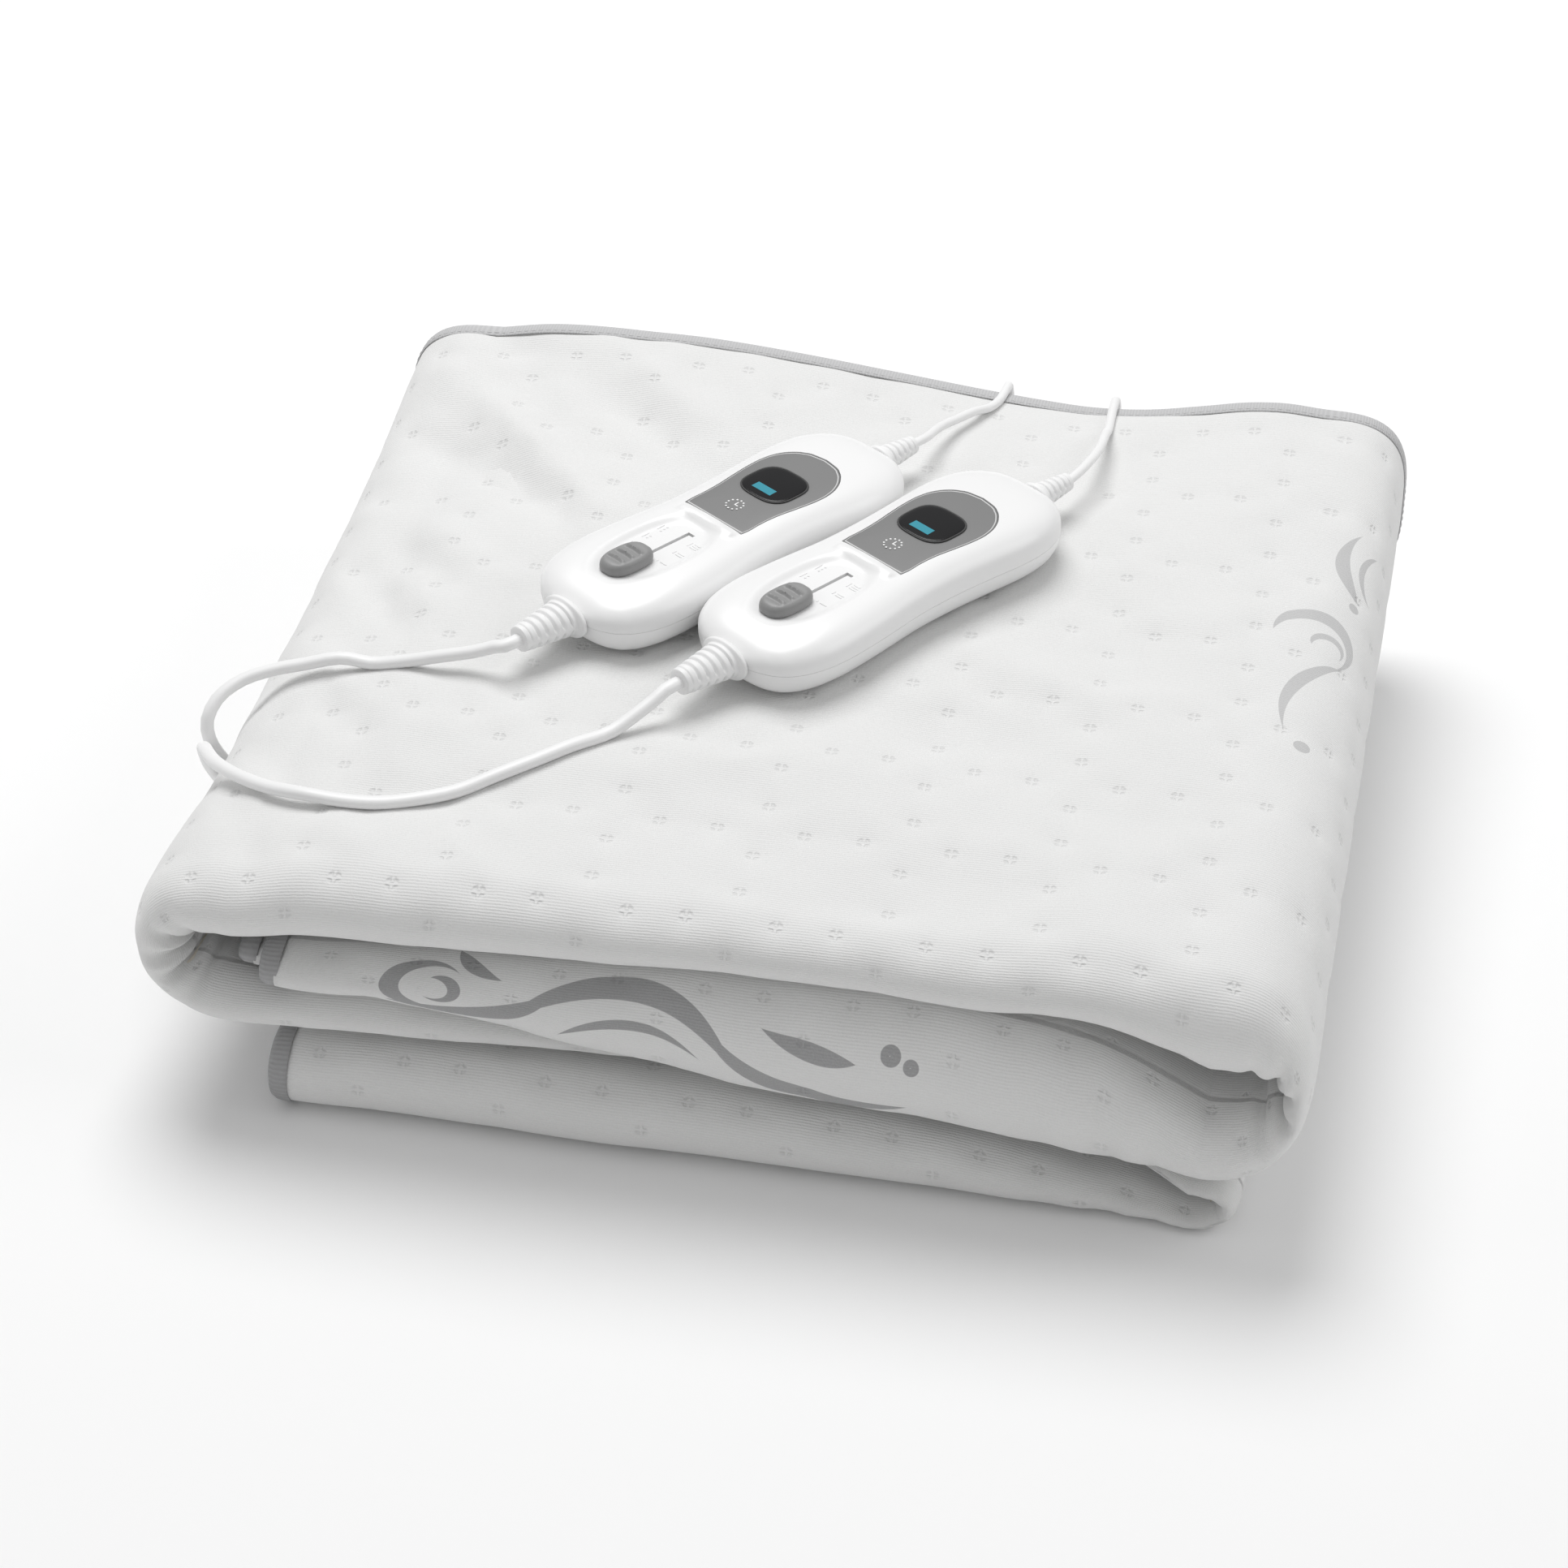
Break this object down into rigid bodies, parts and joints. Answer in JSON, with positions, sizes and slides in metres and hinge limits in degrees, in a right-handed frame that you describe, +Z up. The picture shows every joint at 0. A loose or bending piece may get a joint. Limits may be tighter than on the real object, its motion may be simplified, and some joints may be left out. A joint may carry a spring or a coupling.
{
  "type": "electric blanket",
  "caption": "White quilted double heated underblanket with grey binding, folded into a stack, two hand controllers with slide switches on top and coiled mains leads behind.",
  "frame": {"origin": "middle of the folded stack's footprint, on the floor", "axes": "metres, +Z up, +X to the right along the front fold, +Y to the back (bound hems)"},
  "size_m": [0.4106, 0.4866, 0.1308],
  "materials": {
    "velour": "brushed pile",
    "backing": "plain weave",
    "binding": "ribbed tape",
    "cable": "matte",
    "housing": "satin",
    "fascia": "satin",
    "window": "smoked gloss",
    "display": "lit panel",
    "board": "laminate",
    "dark_plastic": "matte",
    "steel": "zinc plated",
    "knob": "satin",
    "boot": "matte",
    "cord": "satin",
    "plug": "satin",
    "plated_pin": "nickel plated",
    "tie": "satin"
  },
  "bodies": {
    "folded_stack": {"face_fabric": "velour", "backing_fabric": "backing", "back_hem_outer": "binding", "back_hem_inner": "binding", "side_hem_lower": "binding", "side_hem_upper": "binding", "heating_cable_left": "cable", "heating_cable_right": "cable", "bottom_shell_far": "housing", "top_shell_far": "housing", "fascia_far": "fascia", "window_far": "window", "display_far": "display", "circuit_board_far": "board", "switch_body_far": "dark_plastic", "case_screw_far_1": "steel", "case_screw_far_2": "steel", "mains_boot_far": "boot", "blanket_boot_far": "boot", "mains_coil_far": "cord", "mains_lead_far": "cord", "plug_body_far": "plug", "plug_pin_far_1": "plated_pin", "plug_pin_far_2": "plated_pin", "coil_tie_far": "tie", "blanket_lead_far": "cord", "lead_terminal_far": "housing", "bottom_shell_near": "housing", "top_shell_near": "housing", "fascia_near": "fascia", "window_near": "window", "display_near": "display", "circuit_board_near": "board", "switch_body_near": "dark_plastic", "case_screw_near_1": "steel", "case_screw_near_2": "steel", "mains_boot_near": "boot", "blanket_boot_near": "boot", "mains_coil_near": "cord", "mains_lead_near": "cord", "plug_body_near": "plug", "plug_pin_near_1": "plated_pin", "plug_pin_near_2": "plated_pin", "coil_tie_near": "tie", "blanket_lead_near": "cord", "lead_terminal_near": "housing"},
    "slider_far": {"slider_knob_far": "knob"},
    "slider_near": {"slider_knob_near": "knob"}
  },
  "joints": [
    {"name": "slide_far", "type": "slide", "parent": "folded_stack", "child": "slider_far", "axis": [0.5821, 0.8131, 0], "range_m": [0, 0.018]},
    {"name": "slide_near", "type": "slide", "parent": "folded_stack", "child": "slider_near", "axis": [0.5821, 0.8131, 0], "range_m": [0, 0.018]}
  ]
}
